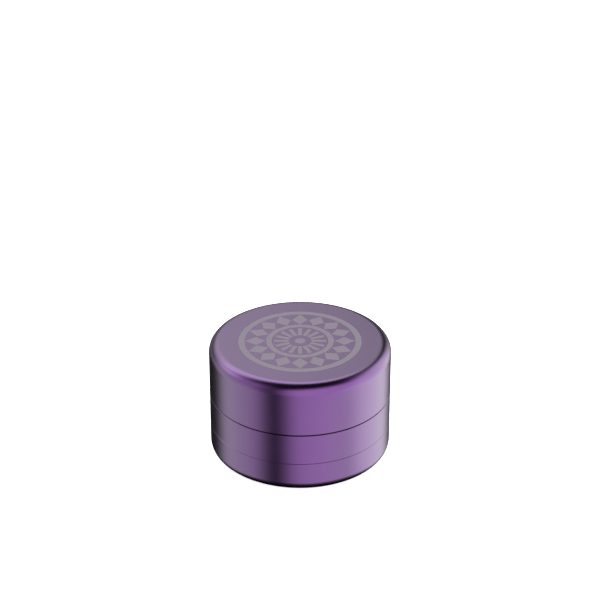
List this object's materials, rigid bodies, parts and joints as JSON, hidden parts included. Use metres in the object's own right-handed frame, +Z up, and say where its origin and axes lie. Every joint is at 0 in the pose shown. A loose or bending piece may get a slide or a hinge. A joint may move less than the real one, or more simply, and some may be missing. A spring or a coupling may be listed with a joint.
{
  "type": "herb grinder",
  "caption": "Round hand grinder for dried herbs: a lid with hanging teeth turns on a toothed grinding chamber, which screws onto a catch cup with a sieve.",
  "frame": {"origin": "centre of the base, on the surface that the grinder stands on", "axes": "+Z up along the turning axis, from the cup to the lid; +X and +Y are two directions across the round body"},
  "size_m": [0.063, 0.063, 0.0412],
  "materials": {
    "anodised_shell": "fine satin, purple anodised",
    "tooth_plate": "machined, clear anodised",
    "fastener_steel": "bright stainless",
    "magnet_plating": "nickel plated",
    "glide_acetal": "turned black acetal",
    "thrust_acetal": "turned natural acetal",
    "seal_rubber": "smooth nitrile",
    "sieve_wire": "woven stainless wire"
  },
  "bodies": {
    "cup": {"cup_body": "anodised_shell", "sieve_frame": "tooth_plate", "sieve_mesh": "sieve_wire", "sieve_clip_ring": "fastener_steel", "sieve_grip_ring": "seal_rubber"},
    "seal": {"chamber_seal_ring": "seal_rubber"},
    "chamber": {"chamber_body": "anodised_shell", "lower_tooth_plate": "tooth_plate", "plate_dowels": "fastener_steel", "plate_snap_ring": "fastener_steel", "lower_magnet": "magnet_plating", "lower_thrust_cap": "thrust_acetal"},
    "glide": {"lid_glide_ring": "glide_acetal"},
    "lid": {"lid_shell": "anodised_shell", "upper_tooth_plate": "tooth_plate", "upper_plate_screws": "fastener_steel", "upper_plate_dowels": "fastener_steel", "upper_magnet": "magnet_plating", "upper_wear_disc": "fastener_steel"}
  },
  "joints": [
    {"name": "chamber_rise", "type": "slide", "parent": "cup", "child": "seal", "axis": [0, 0, 1], "range_m": [0, 0.009]},
    {"name": "chamber_turn", "type": "hinge", "parent": "seal", "child": "chamber", "pos_m": [0, 0, 0.011], "axis": [0, 0, 1], "range_deg": [0, 540]},
    {"name": "lid_lift", "type": "slide", "parent": "chamber", "child": "glide", "axis": [0, 0, 1], "range_m": [0, 0.035]},
    {"name": "lid_spin", "type": "hinge", "parent": "glide", "child": "lid", "pos_m": [0, 0, 0.0225], "axis": [0, 0, 1], "continuous": true}
  ],
  "couplings": [
    {"joint": "chamber_rise", "follows": "chamber_turn", "m_per_rad": 0.00095492}
  ]
}
